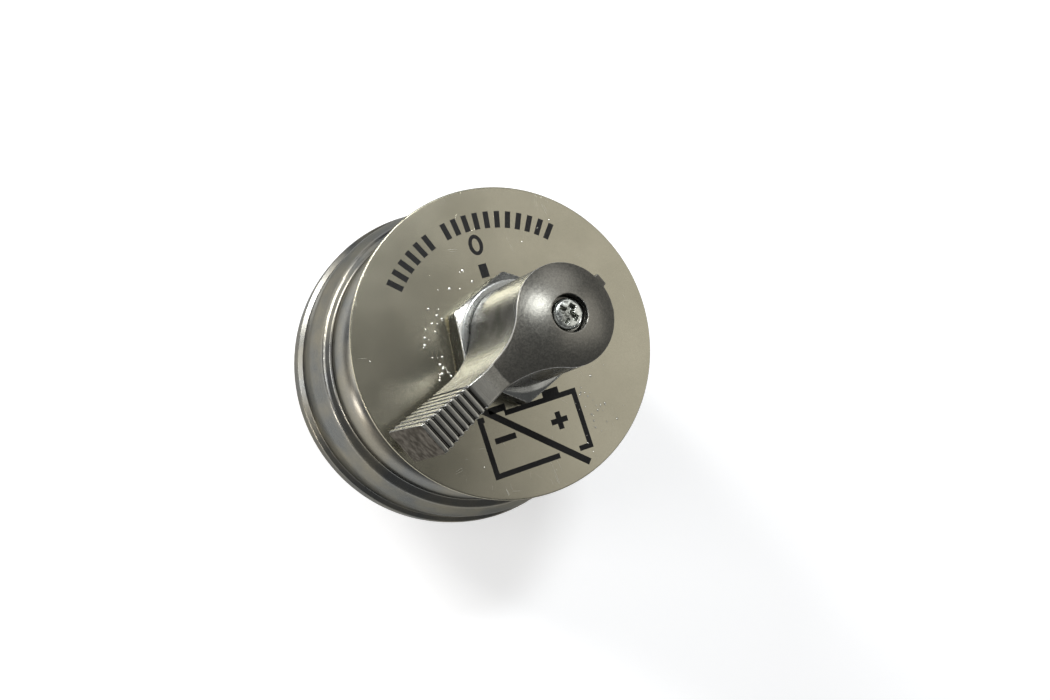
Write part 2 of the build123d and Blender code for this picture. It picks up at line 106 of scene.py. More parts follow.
# --- Materials -------------------------------------------------------------------------------
class Look:
    """A Principled material, with short calls for the nodes that feed it."""

    def __init__(self, name, colour, metallic, roughness, grazing=(1, 1, 1)):
        self.material = bpy.data.materials.new(name)
        self.material.use_nodes = True
        self.tree = self.material.node_tree
        self.shader = self.tree.nodes["Principled BSDF"]
        self.shader.inputs["Base Color"].default_value = (*colour, 1)
        self.shader.inputs["Metallic"].default_value = metallic
        self.shader.inputs["Roughness"].default_value = roughness
        self.shader.inputs["Specular Tint"].default_value = (*grazing, 1)
        self.place = self.add("ShaderNodeTexCoord").outputs["Object"]

    def add(self, kind, **settings):
        """A new shader node, with its settings."""
        node = self.tree.nodes.new(kind)
        for key, value in settings.items():
            setattr(node, key, value)
        return node

    def put(self, socket, value):
        """Feeds a socket from another node's output, or sets it to a constant."""
        if isinstance(value, bpy.types.NodeSocket):
            self.tree.links.new(value, socket)
        else:
            socket.default_value = value

    def math(self, operation, first, second=0.0):
        node = self.add("ShaderNodeMath", operation=operation)
        self.put(node.inputs[0], first)
        self.put(node.inputs[1], second)
        return node.outputs[0]

    def turned_place(self, angle=0.0, stretch=(1, 1, 1)):
        """Object coordinates in millimetres: the direction at an angle turned onto X, then stretched."""
        turn = self.add("ShaderNodeVectorRotate", rotation_type="Z_AXIS")
        self.put(turn.inputs["Vector"], self.place)
        turn.inputs["Angle"].default_value = -math.radians(angle)
        size = self.add("ShaderNodeVectorMath", operation="MULTIPLY")
        self.put(size.inputs[0], turn.outputs[0])
        size.inputs[1].default_value = [value / MM for value in stretch]
        return size.outputs[0]

    def parted(self, vector):
        """The x, y and z outputs of a vector."""
        parts = self.add("ShaderNodeSeparateXYZ")
        self.put(parts.inputs[0], vector)
        return parts.outputs

    def round_place(self, along):
        """(radius, a share of the angle, height): noise fed with it runs in rings round the axis."""
        x, y, z = self.parted(self.turned_place())
        squares = self.math("ADD", self.math("MULTIPLY", x, x), self.math("MULTIPLY", y, y))
        both = self.add("ShaderNodeCombineXYZ")
        self.put(both.inputs[0], self.math("SQRT", squares))
        self.put(both.inputs[1], self.math("MULTIPLY", self.math("ARCTAN2", y, x), along))
        self.put(both.inputs[2], z)
        return both.outputs[0]

    def noise(self, size, place=None, detail=2.0, seed=0.0):
        """Noise from 0 to 1 with features about size millimetres across."""
        node = self.add("ShaderNodeTexNoise", noise_dimensions="4D")
        self.put(node.inputs["Vector"], place or self.turned_place())
        node.inputs["W"].default_value = seed
        node.inputs["Scale"].default_value = 1 / size
        node.inputs["Detail"].default_value = detail
        return node.outputs["Fac"]

    def spread(self, value, from_low, from_high, to_low=0.0, to_high=1.0):
        """Carries a value smoothly from one range to another, and holds it at both ends."""
        node = self.add("ShaderNodeMapRange", interpolation_type="SMOOTHSTEP")
        self.put(node.inputs["Value"], value)
        limits = ("From Min", "From Max", "To Min", "To Max")
        for key, limit in zip(limits, (from_low, from_high, to_low, to_high)):
            node.inputs[key].default_value = limit
        return node.outputs[0]

    def colours(self, factor, first, second):
        """A mix of two colours: the first at factor 0, the second at factor 1."""
        node = self.add("ShaderNodeMix", data_type="RGBA")
        self.put(node.inputs["Factor"], factor)
        for socket, colour in ((node.inputs[6], first), (node.inputs[7], second)):
            self.put(socket, (*colour, 1) if isinstance(colour, tuple) else colour)
        return node.outputs[2]

    def between(self, factor, first, second):
        """The same mix for two numbers."""
        node = self.add("ShaderNodeMix", data_type="FLOAT")
        self.put(node.inputs["Factor"], factor)
        self.put(node.inputs[2], first)
        self.put(node.inputs[3], second)
        return node.outputs[0]

    def colour(self, value):
        self.put(self.shader.inputs["Base Color"], value)

    def roughness(self, value):
        self.put(self.shader.inputs["Roughness"], value)

    def bump(self, height, depth, strength=1.0):
        """Raises the surface by height, from 0 to 1, times depth millimetres. Calls add up."""
        node = self.add("ShaderNodeBump")
        self.put(node.inputs["Strength"], strength)
        node.inputs["Distance"].default_value = depth * MM
        self.put(node.inputs["Height"], height)
        normal = self.shader.inputs["Normal"]
        if normal.is_linked:
            self.put(node.inputs["Normal"], normal.links[0].from_socket)
        self.put(normal, node.outputs[0])

    def scratches(self, angle, spacing, width, share, seed):
        """Thin straight lines at one angle, 1 on a line and 0 elsewhere, on a share of the area."""
        length = 45.0
        wave = self.noise(spacing, self.turned_place(angle, (1 / length, 1, 0)), 0.0, seed)
        line = self.math("ABSOLUTE", self.math("SUBTRACT", wave, 0.5))
        thin = self.spread(line, 0.0, width, 1.0, 0.0)
        patch = self.noise(5.0, None, 1.0, seed + 3.0)
        return self.math("MULTIPLY", thin, self.spread(patch, 1 - share, 1.05 - share))


def drawn_zinc():
    """Bright zinc on drawn steel: nearly a mirror, with smudges and faint lines round the cup."""
    look = Look("drawn zinc", (0.2, 0.2, 0.19), 1.0, 0.2, (0.35, 0.35, 0.34))
    smudge = look.noise(9.0, detail=3.0)
    tint = look.colours(look.spread(smudge, 0.3, 0.7), (0.17, 0.174, 0.17), (0.25, 0.233, 0.187))
    lines = look.noise(0.5, look.round_place(0.6), 3.0, 2.0)
    fine = look.noise(0.35, detail=2.0, seed=5.0)
    look.colour(look.colours(look.spread(fine, 0.25, 0.75, 0.0, 0.35), tint, (0.12, 0.12, 0.12)))
    dull = look.spread(lines, 0.3, 0.7, 0.0, 0.05)
    look.roughness(look.math("ADD", look.spread(smudge, 0.3, 0.75, 0.24, 0.33), dull))
    look.bump(lines, 0.004)
    look.bump(look.noise(2.6, detail=1.0, seed=8.0), 0.012)
    return look.material


def turned_steel(name, colour, roughness):
    """Plated steel with turning rings about the switch axis and a slightly cloudy plating."""
    look = Look(name, colour, 1.0, roughness, (0.6, 0.6, 0.58))
    cloud = look.noise(3.0, detail=3.0)
    dull = tuple(value * 0.72 for value in colour)
    rings = look.noise(0.16, look.round_place(0.05), 1.0, 1.0)
    look.colour(look.colours(look.spread(cloud, 0.3, 0.75), colour, dull))
    clouded = look.spread(cloud, 0.3, 0.7, roughness * 0.8, roughness * 1.3)
    look.roughness(look.math("ADD", clouded, look.math("MULTIPLY", rings, 0.06)))
    look.bump(rings, 0.012)
    look.bump(look.noise(0.6, detail=2.0, seed=4.0), 0.01)
    return look.material


def satin_plate():
    """Satin aluminium sheet with a warm tone, hairline scratches and a faint cloudy film."""
    look = Look("satin plate", (0.52, 0.48, 0.38), 1.0, 0.3, (0.8, 0.78, 0.7))
    cloud = look.noise(11.0, detail=3.0)
    grain = look.noise(0.22, detail=2.0, seed=6.0)
    base = look.colours(look.spread(cloud, 0.3, 0.7), (0.35, 0.328, 0.25), (0.40, 0.374, 0.287))
    base = look.colours(look.spread(grain, 0.3, 0.7, 0.0, 0.25), base, (0.27, 0.25, 0.192))
    marks = None
    angles = ((12, 1.3), (57, 1.9), (98, 1.6), (131, 1.4), (166, 2.1), (78, 1.1))
    for step, (angle, spacing) in enumerate(angles):
        line = look.scratches(angle, spacing, 0.004, 0.32, 10.0 + 7 * step)
        marks = line if marks is None else look.math("MAXIMUM", marks, line)
    look.colour(look.colours(look.math("MULTIPLY", marks, 0.5), base, (0.80, 0.79, 0.73)))
    soft = look.spread(cloud, 0.25, 0.75, 0.215, 0.235)
    look.roughness(look.math("ADD", soft, look.math("MULTIPLY", marks, 0.08)))
    look.bump(marks, 0.004)
    look.bump(grain, 0.0015)
    return look.material


def cast_zinc():
    """Die-cast zinc: a dark granular crown, tumbled satin sides and a sawn end on the blade, painted near
    black as shade.
    """
    look = Look("cast zinc", (0.36, 0.35, 0.34), 1.0, 0.35, (0.45, 0.44, 0.42))
    along = look.parted(look.turned_place(LEVER_ANGLE))[0]
    normal = look.parted(look.add("ShaderNodeTexCoord").outputs["Normal"])
    upward = look.spread(normal[2], 0.35, 0.75)
    crown = look.math("MULTIPLY", upward, look.spread(along, BLADE_ROOT - 1.5, BLADE_ROOT + 0.5, 1.0, 0.0))
    end = look.spread(along, BLADE_END - 0.35, BLADE_END - 0.1)
    valley = rib_valleys(look, along)
    grain = look.noise(0.3, detail=4.0, seed=1.0)
    speck = look.noise(0.16, detail=2.0, seed=9.0)
    cloud = look.noise(4.5, detail=3.0, seed=3.0)

    side = look.colours(look.spread(cloud, 0.3, 0.7), (0.42, 0.426, 0.43), (0.48, 0.486, 0.49))
    side = look.colours(look.spread(speck, 0.55, 0.8, 0.0, 0.3), side, (0.28, 0.286, 0.295))
    side = look.colours(upward, side, (0.32, 0.312, 0.28))
    top = look.colours(look.spread(grain, 0.3, 0.72), (0.18, 0.173, 0.152), (0.25, 0.24, 0.208))
    top = look.colours(look.spread(speck, 0.6, 0.8, 0.0, 0.5), top, (0.36, 0.355, 0.34))
    # painted shade: the valleys between the ribs are coloured near black
    valley_shade = (0.055, 0.053, 0.047)
    base = look.colours(look.math("MULTIPLY", valley, 0.85), look.colours(crown, side, top), valley_shade)
    # painted shade: the blade's sawn end face is coloured near black, with saw streaks across it
    streaks = look.noise(1.3, look.turned_place(LEVER_ANGLE, (1, 1, 0.8)), 5.0, 12.0)
    sawn_end_shade = look.colours(look.spread(streaks, 0.35, 0.7), (0.055, 0.050, 0.043), (0.15, 0.138, 0.12))
    look.colour(look.colours(end, base, sawn_end_shade))

    side_rough = look.spread(cloud, 0.3, 0.7, 0.21, 0.25)
    crown_rough = look.spread(grain, 0.3, 0.7, 0.30, 0.37)
    look.roughness(look.between(end, look.between(crown, side_rough, crown_rough), 0.62))
    skin = look.between(crown, 0.25, 1.0)
    look.bump(grain, 0.016, skin)
    look.bump(speck, 0.006, skin)
    look.bump(look.noise(1.7, detail=2.0, seed=15.0), 0.03, 0.6)
    look.bump(valley, -0.3)
    return look.material


def rib_valleys(look, along):
    """1 in the valleys between the blade's ribs, where shade is painted, and 0 elsewhere."""
    phase = look.math("DIVIDE", look.math("SUBTRACT", along, RIB_START - RIB_PITCH / 2), RIB_PITCH)
    away = look.math("ABSOLUTE", look.math("SUBTRACT", look.math("FRACT", phase), 0.5))
    first = look.math("GREATER_THAN", phase, -0.3)
    last = look.math("LESS_THAN", phase, RIB_COUNT + 0.1)
    return look.math("MULTIPLY", look.spread(away, 0.28, 0.46), look.math("MULTIPLY", first, last))


def screw_steel():
    """Bright plated screw with a rough pressed recess, painted darker as shade the lower it lies below the
    head's top.
    """
    look = Look("screw steel", (0.66, 0.67, 0.62), 1.0, 0.2)
    rough = look.noise(0.5, detail=4.0)
    height = look.parted(look.turned_place())[2]
    # painted shade: darker grey the lower the head's surface lies, in the recess and over the rounded rim
    deep = look.spread(height, SCREW_TOP - 1.2, SCREW_TOP - 0.5, 1.0, 0.0)
    plated = look.colours(look.spread(rough, 0.35, 0.7), (0.40, 0.41, 0.38), (0.74, 0.76, 0.70))
    recess_shade = look.colours(look.spread(rough, 0.4, 0.6), (0.09, 0.094, 0.085), (0.42, 0.43, 0.39))
    look.colour(look.colours(deep, plated, recess_shade))
    look.roughness(look.spread(rough, 0.3, 0.7, 0.12, 0.3))
    look.bump(rough, 0.03)
    return look.material


def plain_metal(name, colour, roughness, stain):
    """Turned or ground metal with a patchy tarnish."""
    look = Look(name, colour, 1.0, roughness)
    patch = look.noise(2.6, detail=4.0)
    rings = look.noise(0.2, look.round_place(0.1), 1.0, 3.0)
    look.colour(look.colours(look.spread(patch, 0.35, 0.75), colour, stain))
    look.roughness(look.spread(patch, 0.3, 0.75, roughness * 0.8, roughness * 1.5))
    look.bump(rings, 0.01)
    look.bump(look.noise(0.5, detail=2.0, seed=7.0), 0.01)
    return look.material


def moulded(name, colour, spot, roughness, grain, depth):
    """Moulded plastic or rubber with a fine skin."""
    look = Look(name, colour, 0.0, roughness)
    flow = look.noise(5.0, look.turned_place(20.0, (1, 0.5, 1)), 4.0)
    skin = look.noise(grain, detail=3.0, seed=2.0)
    look.colour(look.colours(look.spread(flow, 0.3, 0.75), colour, spot))
    look.roughness(look.spread(skin, 0.3, 0.7, roughness * 0.85, roughness * 1.2))
    look.bump(skin, depth)
    return look.material


def ink():
    """Black screen print, a little uneven."""
    look = Look("black print", (0.012, 0.012, 0.012), 0.0, 0.5)
    look.shader.inputs["Specular IOR Level"].default_value = 0.15
    speck = look.noise(0.25, detail=3.0)
    look.colour(look.colours(look.spread(speck, 0.4, 0.85), (0.010, 0.010, 0.010), (0.045, 0.043, 0.04)))
    look.roughness(look.spread(speck, 0.3, 0.7, 0.35, 0.5))
    look.bump(speck, 0.004)
    return look.material


def floor_paint():
    """White floor that glows a little, so that it stays white round the shadow."""
    look = Look("floor", (0.9, 0.9, 0.9), 0.0, 0.7)
    look.shader.inputs["Emission Color"].default_value = (1, 1, 1, 1)
    look.shader.inputs["Emission Strength"].default_value = 0.43
    return look.material


def bubble_film():
    """Little blisters of clear film over the plate: bright where they catch a light."""
    look = Look("film blister", (0.74, 0.72, 0.65), 1.0, 0.08)
    look.roughness(look.spread(look.noise(0.2), 0.3, 0.7, 0.05, 0.16))
    return look.material


# --- Mesh building ---------------------------------------------------------------------------
def add_piece(name, points, faces, body, slot, look, replaced=(), sharp=35.0):
    """A mesh piece from points in millimetres, riding on a body."""
    mesh = bpy.data.meshes.new(name)
    mesh.from_pydata([Vector(point) * MM for point in points], [], faces)
    mesh.shade_smooth()
    mesh.set_sharp_from_angle(angle=math.radians(sharp))
    place_piece(name, mesh, body, look, replaced)


def place_piece(name, mesh, body, look, replaced=()):
    """A piece from a ready mesh, riding on a body and standing in for the replaced nodes."""
    piece = bpy.data.objects.new(name, mesh)
    scene.collection.objects.link(piece)
    mesh.materials.clear()
    mesh.materials.append(look)
    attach(piece, body)
    if replaced:
        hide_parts(*replaced)


def closed_rows(rows):
    """Faces between loops of equal length, the last row joined to the first."""
    count = len(rows[0])
    points = [point for row in rows for point in row]
    faces = []
    for r in range(len(rows)):
        here, there = r * count, (r + 1) % len(rows) * count
        for s in range(count):
            t = (s + 1) % count
            faces.append((here + s, here + t, there + t, there + s))
    return points, faces


def open_rows(rows):
    """Faces between loops of equal length, the first and the last row left open."""
    points, faces = closed_rows(rows)
    return points, faces[:-len(rows[0])]


def capped_rows(rows):
    """Faces between loops of equal length, with a flat cap on the first and the last."""
    points, faces = open_rows(rows)
    count = len(rows[0])
    last = len(points) - count
    faces.append(tuple(reversed(range(count))))
    faces.append(tuple(range(last, last + count)))
    return points, faces


def shifted(mesh, x):
    """A (points, faces) pair moved along X."""
    points, faces = mesh
    return [(px + x, py, pz) for px, py, pz in points], faces


def joined(meshes):
    """Several (points, faces) pairs as one."""
    points, faces = [], []
    for more, walls in meshes:
        faces += [tuple(index + len(points) for index in face) for face in walls]
        points += more
    return points, faces


def polar(radius, angle, height):
    """The point at a distance from the axis, an angle in radians and a height."""
    return (radius * math.cos(angle), radius * math.sin(angle), height)


def circle(radius, height, segments):
    """Points round the axis, counterclockwise from +X."""
    return [polar(radius, math.tau * s / segments, height) for s in range(segments)]


def lathe(outline, segments):
    """A ring-shaped solid: a closed, counterclockwise (radius, height) outline swept round Z."""
    return closed_rows([circle(radius, height, segments) for radius, height in outline])


def rounded(corners, steps=5):
    """A closed outline from (x, y, round radius) corners, with each corner's arc in steps."""
    outline = []
    for index, (x, y, radius) in enumerate(corners):
        here = Vector((x, y))
        before = (Vector(corners[index - 1][:2]) - here).normalized()
        after = (Vector(corners[(index + 1) % len(corners)][:2]) - here).normalized()
        if radius == 0:
            outline.append(tuple(here))
            continue
        half = before.angle(after) / 2
        centre = here + (before + after).normalized() * (radius / math.sin(half))
        reach = radius / math.tan(half)
        start = here + before * reach - centre
        sweep = start.angle_signed(here + after * reach - centre)
        for step in range(steps + 1):
            turn = Matrix.Rotation(-sweep * step / steps, 2)
            outline.append(tuple(centre + turn @ start))
    return outline


def soft_min(a, b, round_by):
    """The smaller of two numbers, with the change from one to the other rounded."""
    mix = max(0.0, min(1.0, 0.5 + (b - a) / (2 * round_by)))
    return b + (a - b) * mix - round_by * mix * (1 - mix)


def thread_depth(phase):
    """How deep a 60 degree thread is at a phase from 0 to 1: flat crest, slopes, flat root."""
    away = abs((phase % 1.0) - 0.5) * 2
    return 0.6 * PITCH * max(0.0, min(1.0, (away - 0.14) / 0.66))


def thread_rows(radius, bottom, top, segments, taper=0.0):
    """Rows of a thread from bottom to top, tapered at its bottom. A nut's bore has the screw's rows."""
    rows_per_turn = 14
    count = max(2, round((top - bottom) / PITCH * rows_per_turn))
    rows = []
    for step in range(count + 1):
        height = bottom + (top - bottom) * step / count
        tapered = max(0.0, bottom + taper - height)
        row = []
        for s in range(segments):
            share = s / segments
            deep = max(thread_depth(height / PITCH - share), tapered)
            row.append(polar(radius - deep, math.tau * share, height))
        rows.append(row)
    return rows


def hexagon_nut(flats, bore, bottom, thickness, turn, segments):
    """A hexagon nut with rounded edges, chamfered corners and a thread in its bore."""
    edge = 0.22
    corner = flats / math.sqrt(3)
    cut = (corner - flats / 2) * 1.15
    slope = math.tan(math.radians(30))
    top = bottom + thickness
    mouth = bore + 0.5
    face_rings = (corner - cut - 0.5, mouth + 1.2, mouth + 0.15, mouth)
    thread_inset = 0.5

    def side(angle, below):
        """Radius of the nut's side at an angle, a depth below the nearer face."""
        from_flat = (math.degrees(angle) - turn - 30) % 60
        from_flat = min(from_flat, 60 - from_flat)
        flat = flats / 2 / math.cos(math.radians(from_flat))
        flat = soft_min(flat, corner - 0.12, edge)
        return soft_min(flat, corner - cut + below / slope, edge)

    angles = [math.tau * s / segments for s in range(segments)]
    depths = [0.0, 0.04, 0.1, 0.18, 0.3, 0.45, 0.65, 0.9, 1.2, 1.6, thickness / 2]
    rows = []
    for below in depths:
        rows.append([polar(side(a, below), a, bottom + below) for a in angles])
    for below in reversed(depths[:-1]):
        rows.append([polar(side(a, below), a, top - below) for a in angles])
    rows += [circle(radius, top, segments) for radius in face_rings]
    rows += reversed(thread_rows(bore, bottom + thread_inset, top - thread_inset, segments))
    rows += [circle(radius, bottom, segments) for radius in reversed(face_rings)]
    return closed_rows(rows)


# --- Plate and its print ---------------------------------------------------------------------
def face_plate(look):
    """Thin disc with softened edges. Points beside each edge keep the wide faces' shading flat."""
    inner = STEM_RADIUS + 0.25
    corners = [
        (inner, PLATE_BACK, 0.1),
        (inner + 0.3, PLATE_BACK, 0),
        (PLATE_RADIUS - 0.4, PLATE_BACK, 0),
        (PLATE_RADIUS, PLATE_BACK, 0.12),
        (PLATE_RADIUS, PLATE_FRONT, 0.18),
        (PLATE_RADIUS - 0.4, PLATE_FRONT, 0),
        (inner + 0.3, PLATE_FRONT, 0),
        (inner, PLATE_FRONT, 0.1),
    ]
    disc = lathe(rounded(corners, 4), 360)
    add_piece("legend_plate", *disc, "housing", "satin_aluminium", look, ["face_plate"])


def ink_shape(outline):
    """A flat printed shape from its (x, y) outline."""
    count = len(outline)
    points = [(x, y, INK_FRONT) for x, y in outline] + [(x, y, INK_BACK) for x, y in outline]
    faces = [tuple(range(count)), tuple(reversed(range(count, 2 * count)))]
    for s in range(count):
        t = (s + 1) % count
        faces.append((s, s + count, t + count, t))
    return points, faces


def bar(start, end, width):
    """Outline of a straight bar from start to end."""
    start, end = Vector(start), Vector(end)
    side = (end - start).normalized().orthogonal() * width / 2
    return [tuple(p) for p in (start + side, start - side, end - side, end + side)]


def radial_bar(angle, inner, outer, width):
    """Outline of a bar that points away from the axis, at an angle in degrees."""
    direction = Vector((math.cos(math.radians(angle)), math.sin(math.radians(angle))))
    return bar(direction * inner, direction * outer, width)


def symbol_ring(centre, half_width, half_height, line, steps=40):
    """Four-cornered faces of an upright oval ring, as in a nought."""
    shapes = []
    for step in range(steps):
        corner = []
        for s, shrink in ((step, 0), (step + 1, 0), (step + 1, line), (step, line)):
            angle = math.tau * s / steps
            corner.append((
                centre[0] + (half_width - shrink) * math.cos(angle),
                centre[1] + (half_height - shrink) * math.sin(angle),
            ))
        shapes.append(corner)
    return shapes


def plate_print(look):
    """Index bar, nought, arc of ticks and the crossed-out battery symbol."""
    shapes = [radial_bar(90, 14.8, 17.9, 1.9)]
    shapes += symbol_ring((0, 22.35), 1.65, 2.35, 0.85)
    tick_pitch = 5.2
    for first, count in ((138.0, 6), (102.0, 11)):
        for step in range(count):
            shapes.append(radial_bar(first - tick_pitch * step, 25.6, 29.4, 1.25))
    shapes += battery_symbol()
    print_mesh = joined(ink_shape(shape) for shape in shapes)
    add_piece("plate_print", *print_mesh, "housing", "satin_aluminium", look)


def battery_symbol():
    """A battery box with two posts, a plus and a minus, crossed out by a diagonal bar."""
    left, right, top, foot, line = -12.1, 12.1, -14.4, -28.3, 1.2
    middle = line / 2
    slash_start, slash_end, slash_width = Vector((-10.5, -12.8)), Vector((10.2, -31.2)), 1.5
    slope = (slash_end - slash_start).normalized()
    gap = slash_width / 2 + 0.9

    def level_lines(y, from_x, to_x):
        """A level line at height y, broken where the diagonal crosses it."""
        crossing = slash_start.x + (y - slash_start.y) * slope.x / slope.y
        aside = gap / abs(slope.y)
        return [
            bar((from_x, y), (crossing - aside, y), line),
            bar((crossing + aside, y), (to_x, y), line),
        ]

    shapes = [bar(slash_start, slash_end, slash_width)]
    shapes += level_lines(top - middle, left, right)
    for x in (right - middle, left + middle):
        shapes.append(bar((x, top - line), (x, foot), line))
    shapes += level_lines(foot + middle, left + line, right - line)
    plus_x, signs_y, arm, join = 6.2, -20.3, 2.0, 0.62
    shapes.append(bar((plus_x - arm, signs_y), (plus_x + arm, signs_y), 1.25))
    shapes.append(bar((plus_x, signs_y + arm), (plus_x, signs_y + join), 1.25))
    shapes.append(bar((plus_x, signs_y - join), (plus_x, signs_y - arm), 1.25))
    shapes.append(bar((-9.6, signs_y), (-4.6, signs_y), 1.3))
    for post in (-7.0, 6.1):
        shapes.append(bar((post, top), (post, top + 1.5), 4.0))
    return shapes


def blister_spots(rng):
    """Places and radii of the film's blisters: round the nut and beside the battery symbol."""
    spots = []
    for _ in range(46):
        angle = math.radians(rng.gauss(172, 34))
        reach = rng.uniform(14.9, 19.0)
        spots.append((reach * math.cos(angle), reach * math.sin(angle), rng.uniform(0.12, 0.42)))
    for _ in range(34):
        spots.append((rng.gauss(13.6, 2.2), rng.gauss(-19.0, 4.4), rng.uniform(0.10, 0.26)))
    for _ in range(22):
        angle = math.tau * rng.random()
        reach = rng.uniform(15.0, 32.0)
        spots.append((reach * math.cos(angle), reach * math.sin(angle), rng.uniform(0.08, 0.18)))
    clear_of_bar = 2.3
    return [spot for spot in spots if abs(spot[0]) > clear_of_bar or spot[1] < 0]


def dome(x, y, radius, sides=14, rings=4):
    """A low closed dome on the plate's front."""
    height, foot = radius * 0.45, PLATE_FRONT - 0.01
    points, faces = [], []
    for ring in range(rings):
        part = ring / rings
        rise = height * math.sqrt(1 - (1 - part) ** 2)
        for px, py, pz in circle(radius * (1 - part), foot + rise, sides):
            points.append((x + px, y + py, pz))
    points.append((x, y, foot + height))
    for ring in range(rings - 1):
        for s in range(sides):
            a, b = ring * sides + s, ring * sides + (s + 1) % sides
            faces.append((a, b, b + sides, a + sides))
    last = (rings - 1) * sides
    for s in range(sides):
        faces.append((last + s, last + (s + 1) % sides, rings * sides))
    faces.append(tuple(reversed(range(sides))))
    return points, faces


def film_blisters(look):
    """Low domes where the plate's clear film has lifted."""
    domes = joined(dome(*spot) for spot in blister_spots(random.Random(7)))
    add_piece("film_blisters", *domes, "housing", "satin_aluminium", look, sharp=60)


# --- Nuts, stem and studs --------------------------------------------------------------------
def mounting_nuts(look):
    """The nut over the plate and the nut behind it, both on the stem."""
    for name, node, turn in (
        ("nut_front", "face_nut", FACE_NUT_TURN),
        ("nut_rear", "back_nut", BACK_NUT_TURN),
    ):
        bottom, thickness = low(node).z, high(node).z - low(node).z
        nut = hexagon_nut(NUT_FLATS, STEM_RADIUS, bottom, thickness, turn, 240)
        add_piece(name, *nut, "housing", "nut_steel", look, [node])


def threaded_stem(look):
    """Hollow stem: a thread outside, the bearing bore inside, a flange behind the front wall."""
    bore, bore_chamfer, segments = 5.06, 0.5, 180
    back, flange = low("mounting_stem").z, high("mounting_stem").x
    flange_front = high("detent_plate").z - 1.2
    rows = [circle(bore, back, segments), circle(flange, back, segments)]
    rows += [circle(flange, flange_front, segments), circle(STEM_RADIUS - 0.9, flange_front, segments)]
    rows += thread_rows(STEM_RADIUS, 0.0, STEM_TOP, segments)
    rows.append(circle(bore + bore_chamfer, STEM_TOP, segments))
    rows.append(circle(bore, STEM_TOP - bore_chamfer, segments))
    add_piece("threaded_stem", *closed_rows(rows), "housing", "plated_thread", look, ["mounting_stem"])


def terminal_studs(look):
    """Studs with a round head inside and a thread from the seat washer to the free end."""
    segments = 96
    thread_top = low("seat_washers").z
    for side, node in ((-1, "terminal_stud_a"), (1, "terminal_stud_b")):
        top = high(node).z
        rows = thread_rows(STUD_RADIUS, STUD_END, thread_top - 0.1, segments, 0.8)
        shoulders = (
            (STUD_RADIUS, thread_top),
            (STUD_RADIUS, top - STUD_HEAD),
            (STUD_HEAD_RADIUS, top - STUD_HEAD),
            (STUD_HEAD_RADIUS, top),
        )
        rows += [circle(radius, height, segments) for radius, height in shoulders]
        stud = shifted(capped_rows(rows), side * STUD_PLACE)
        add_piece(node.replace("terminal", "threaded"), *stud, "housing", "copper", look, [node])


def stud_nuts(look):
    """The seat nuts and the terminal nuts, a pair of each."""
    for name, node, turn in (
        ("stud_nuts_seat", "seat_nuts", SEAT_NUT_TURN),
        ("stud_nuts_terminal", "terminal_nuts", TERMINAL_NUT_TURN),
    ):
        bottom, thickness = low(node).z, high(node).z - low(node).z
        nut = hexagon_nut(STUD_NUT_FLATS, STUD_RADIUS, bottom, thickness, turn, 180)
        pair = joined([shifted(nut, -STUD_PLACE), shifted(nut, STUD_PLACE)])
        add_piece(name, *pair, "housing", "brass", look, [node])


# --- Lever -----------------------------------------------------------------------------------
def rounded_block(half, radius):
    """A block with all its edges rounded, about the origin. half holds its three half sizes."""
    block = bmesh.new()
    bmesh.ops.create_cube(block, size=2.0)
    bmesh.ops.subdivide_edges(block, edges=block.edges[:], cuts=7, use_grid_fill=True)
    points = []
    for vertex in block.verts:
        outer = [value * size for value, size in zip(vertex.co, half)]
        inner = Vector([max(radius - size, min(size - radius, value)) for value, size in zip(outer, half)])
        points.append(inner + (Vector(outer) - inner).normalized() * radius)
    faces = [tuple(vertex.index for vertex in face.verts) for face in block.faces]
    block.free()
    return points, faces


def blade_ribs():
    """Rounded slabs side by side along the blade, which leave narrow valleys between them."""
    turn = Matrix.Rotation(math.radians(LEVER_ANGLE), 3, "Z")
    middle = (LEVER_BOTTOM + BLADE_TOP) / 2
    slabs = []
    for step in range(RIB_COUNT):
        place = RIB_START + step * RIB_PITCH
        half = BLADE_ROOT_HALF + BLADE_WIDEN * (place - BLADE_ROOT)
        block, faces = rounded_block((RIB_PITCH / 2, half, BLADE_TOP - middle), RIB_ROUND)
        points = []
        for x, y, z in block:
            wider = 1 + LEVER_LEAN * (LEVER_TOP - middle - z) / half
            points.append(turn @ Vector((place + x, y * wider, middle + z)))
        slabs.append((points, faces))
    return joined(slabs)


def cast_lever(look):
    """The lever's solid and its ribs in one skin, with edges softened as a tumbled casting has them."""
    work = bmesh.new()
    work.from_mesh(frame["nodes"]["lever"].data)
    points, faces = blade_ribs()
    added = [work.verts.new(point * MM) for point in points]
    for face in faces:
        work.faces.new([added[index] for index in face])
    source = bpy.data.meshes.new("cast_lever_work")
    work.to_mesh(source)
    work.free()
    piece = bpy.data.objects.new("cast_lever_work", source)
    scene.collection.objects.link(piece)
    remesh = piece.modifiers.new("remesh", "REMESH")
    remesh.mode = "VOXEL"
    remesh.voxel_size = 0.13 * MM
    smooth = piece.modifiers.new("smooth", "SMOOTH")
    smooth.factor = 0.5
    smooth.iterations = 3
    thin = piece.modifiers.new("thin", "DECIMATE")
    thin.ratio = 0.35
    view = bpy.context.evaluated_depsgraph_get()
    mesh = bpy.data.meshes.new_from_object(piece.evaluated_get(view))
    bpy.data.objects.remove(piece)
    mesh.name = "cast_lever"
    mesh.shade_smooth()
    place_piece("cast_lever", mesh, "rotor", look, ["lever"])


def cross_recess(x, y):
    """Depth of the screw's cross recess, from 0 to 1, at a place on its head."""
    arm, half = 2.1, 0.62
    deep = 0.0
    for u, v in ((x, y), (y, x)):
        across = 1 - abs(v) / (half + 0.12 * (arm - min(arm, abs(u))))
        reach = (arm - abs(u)) / 0.5
        deep = max(deep, min(1.0, 2.2 * max(0.0, min(across, reach))))
    return deep


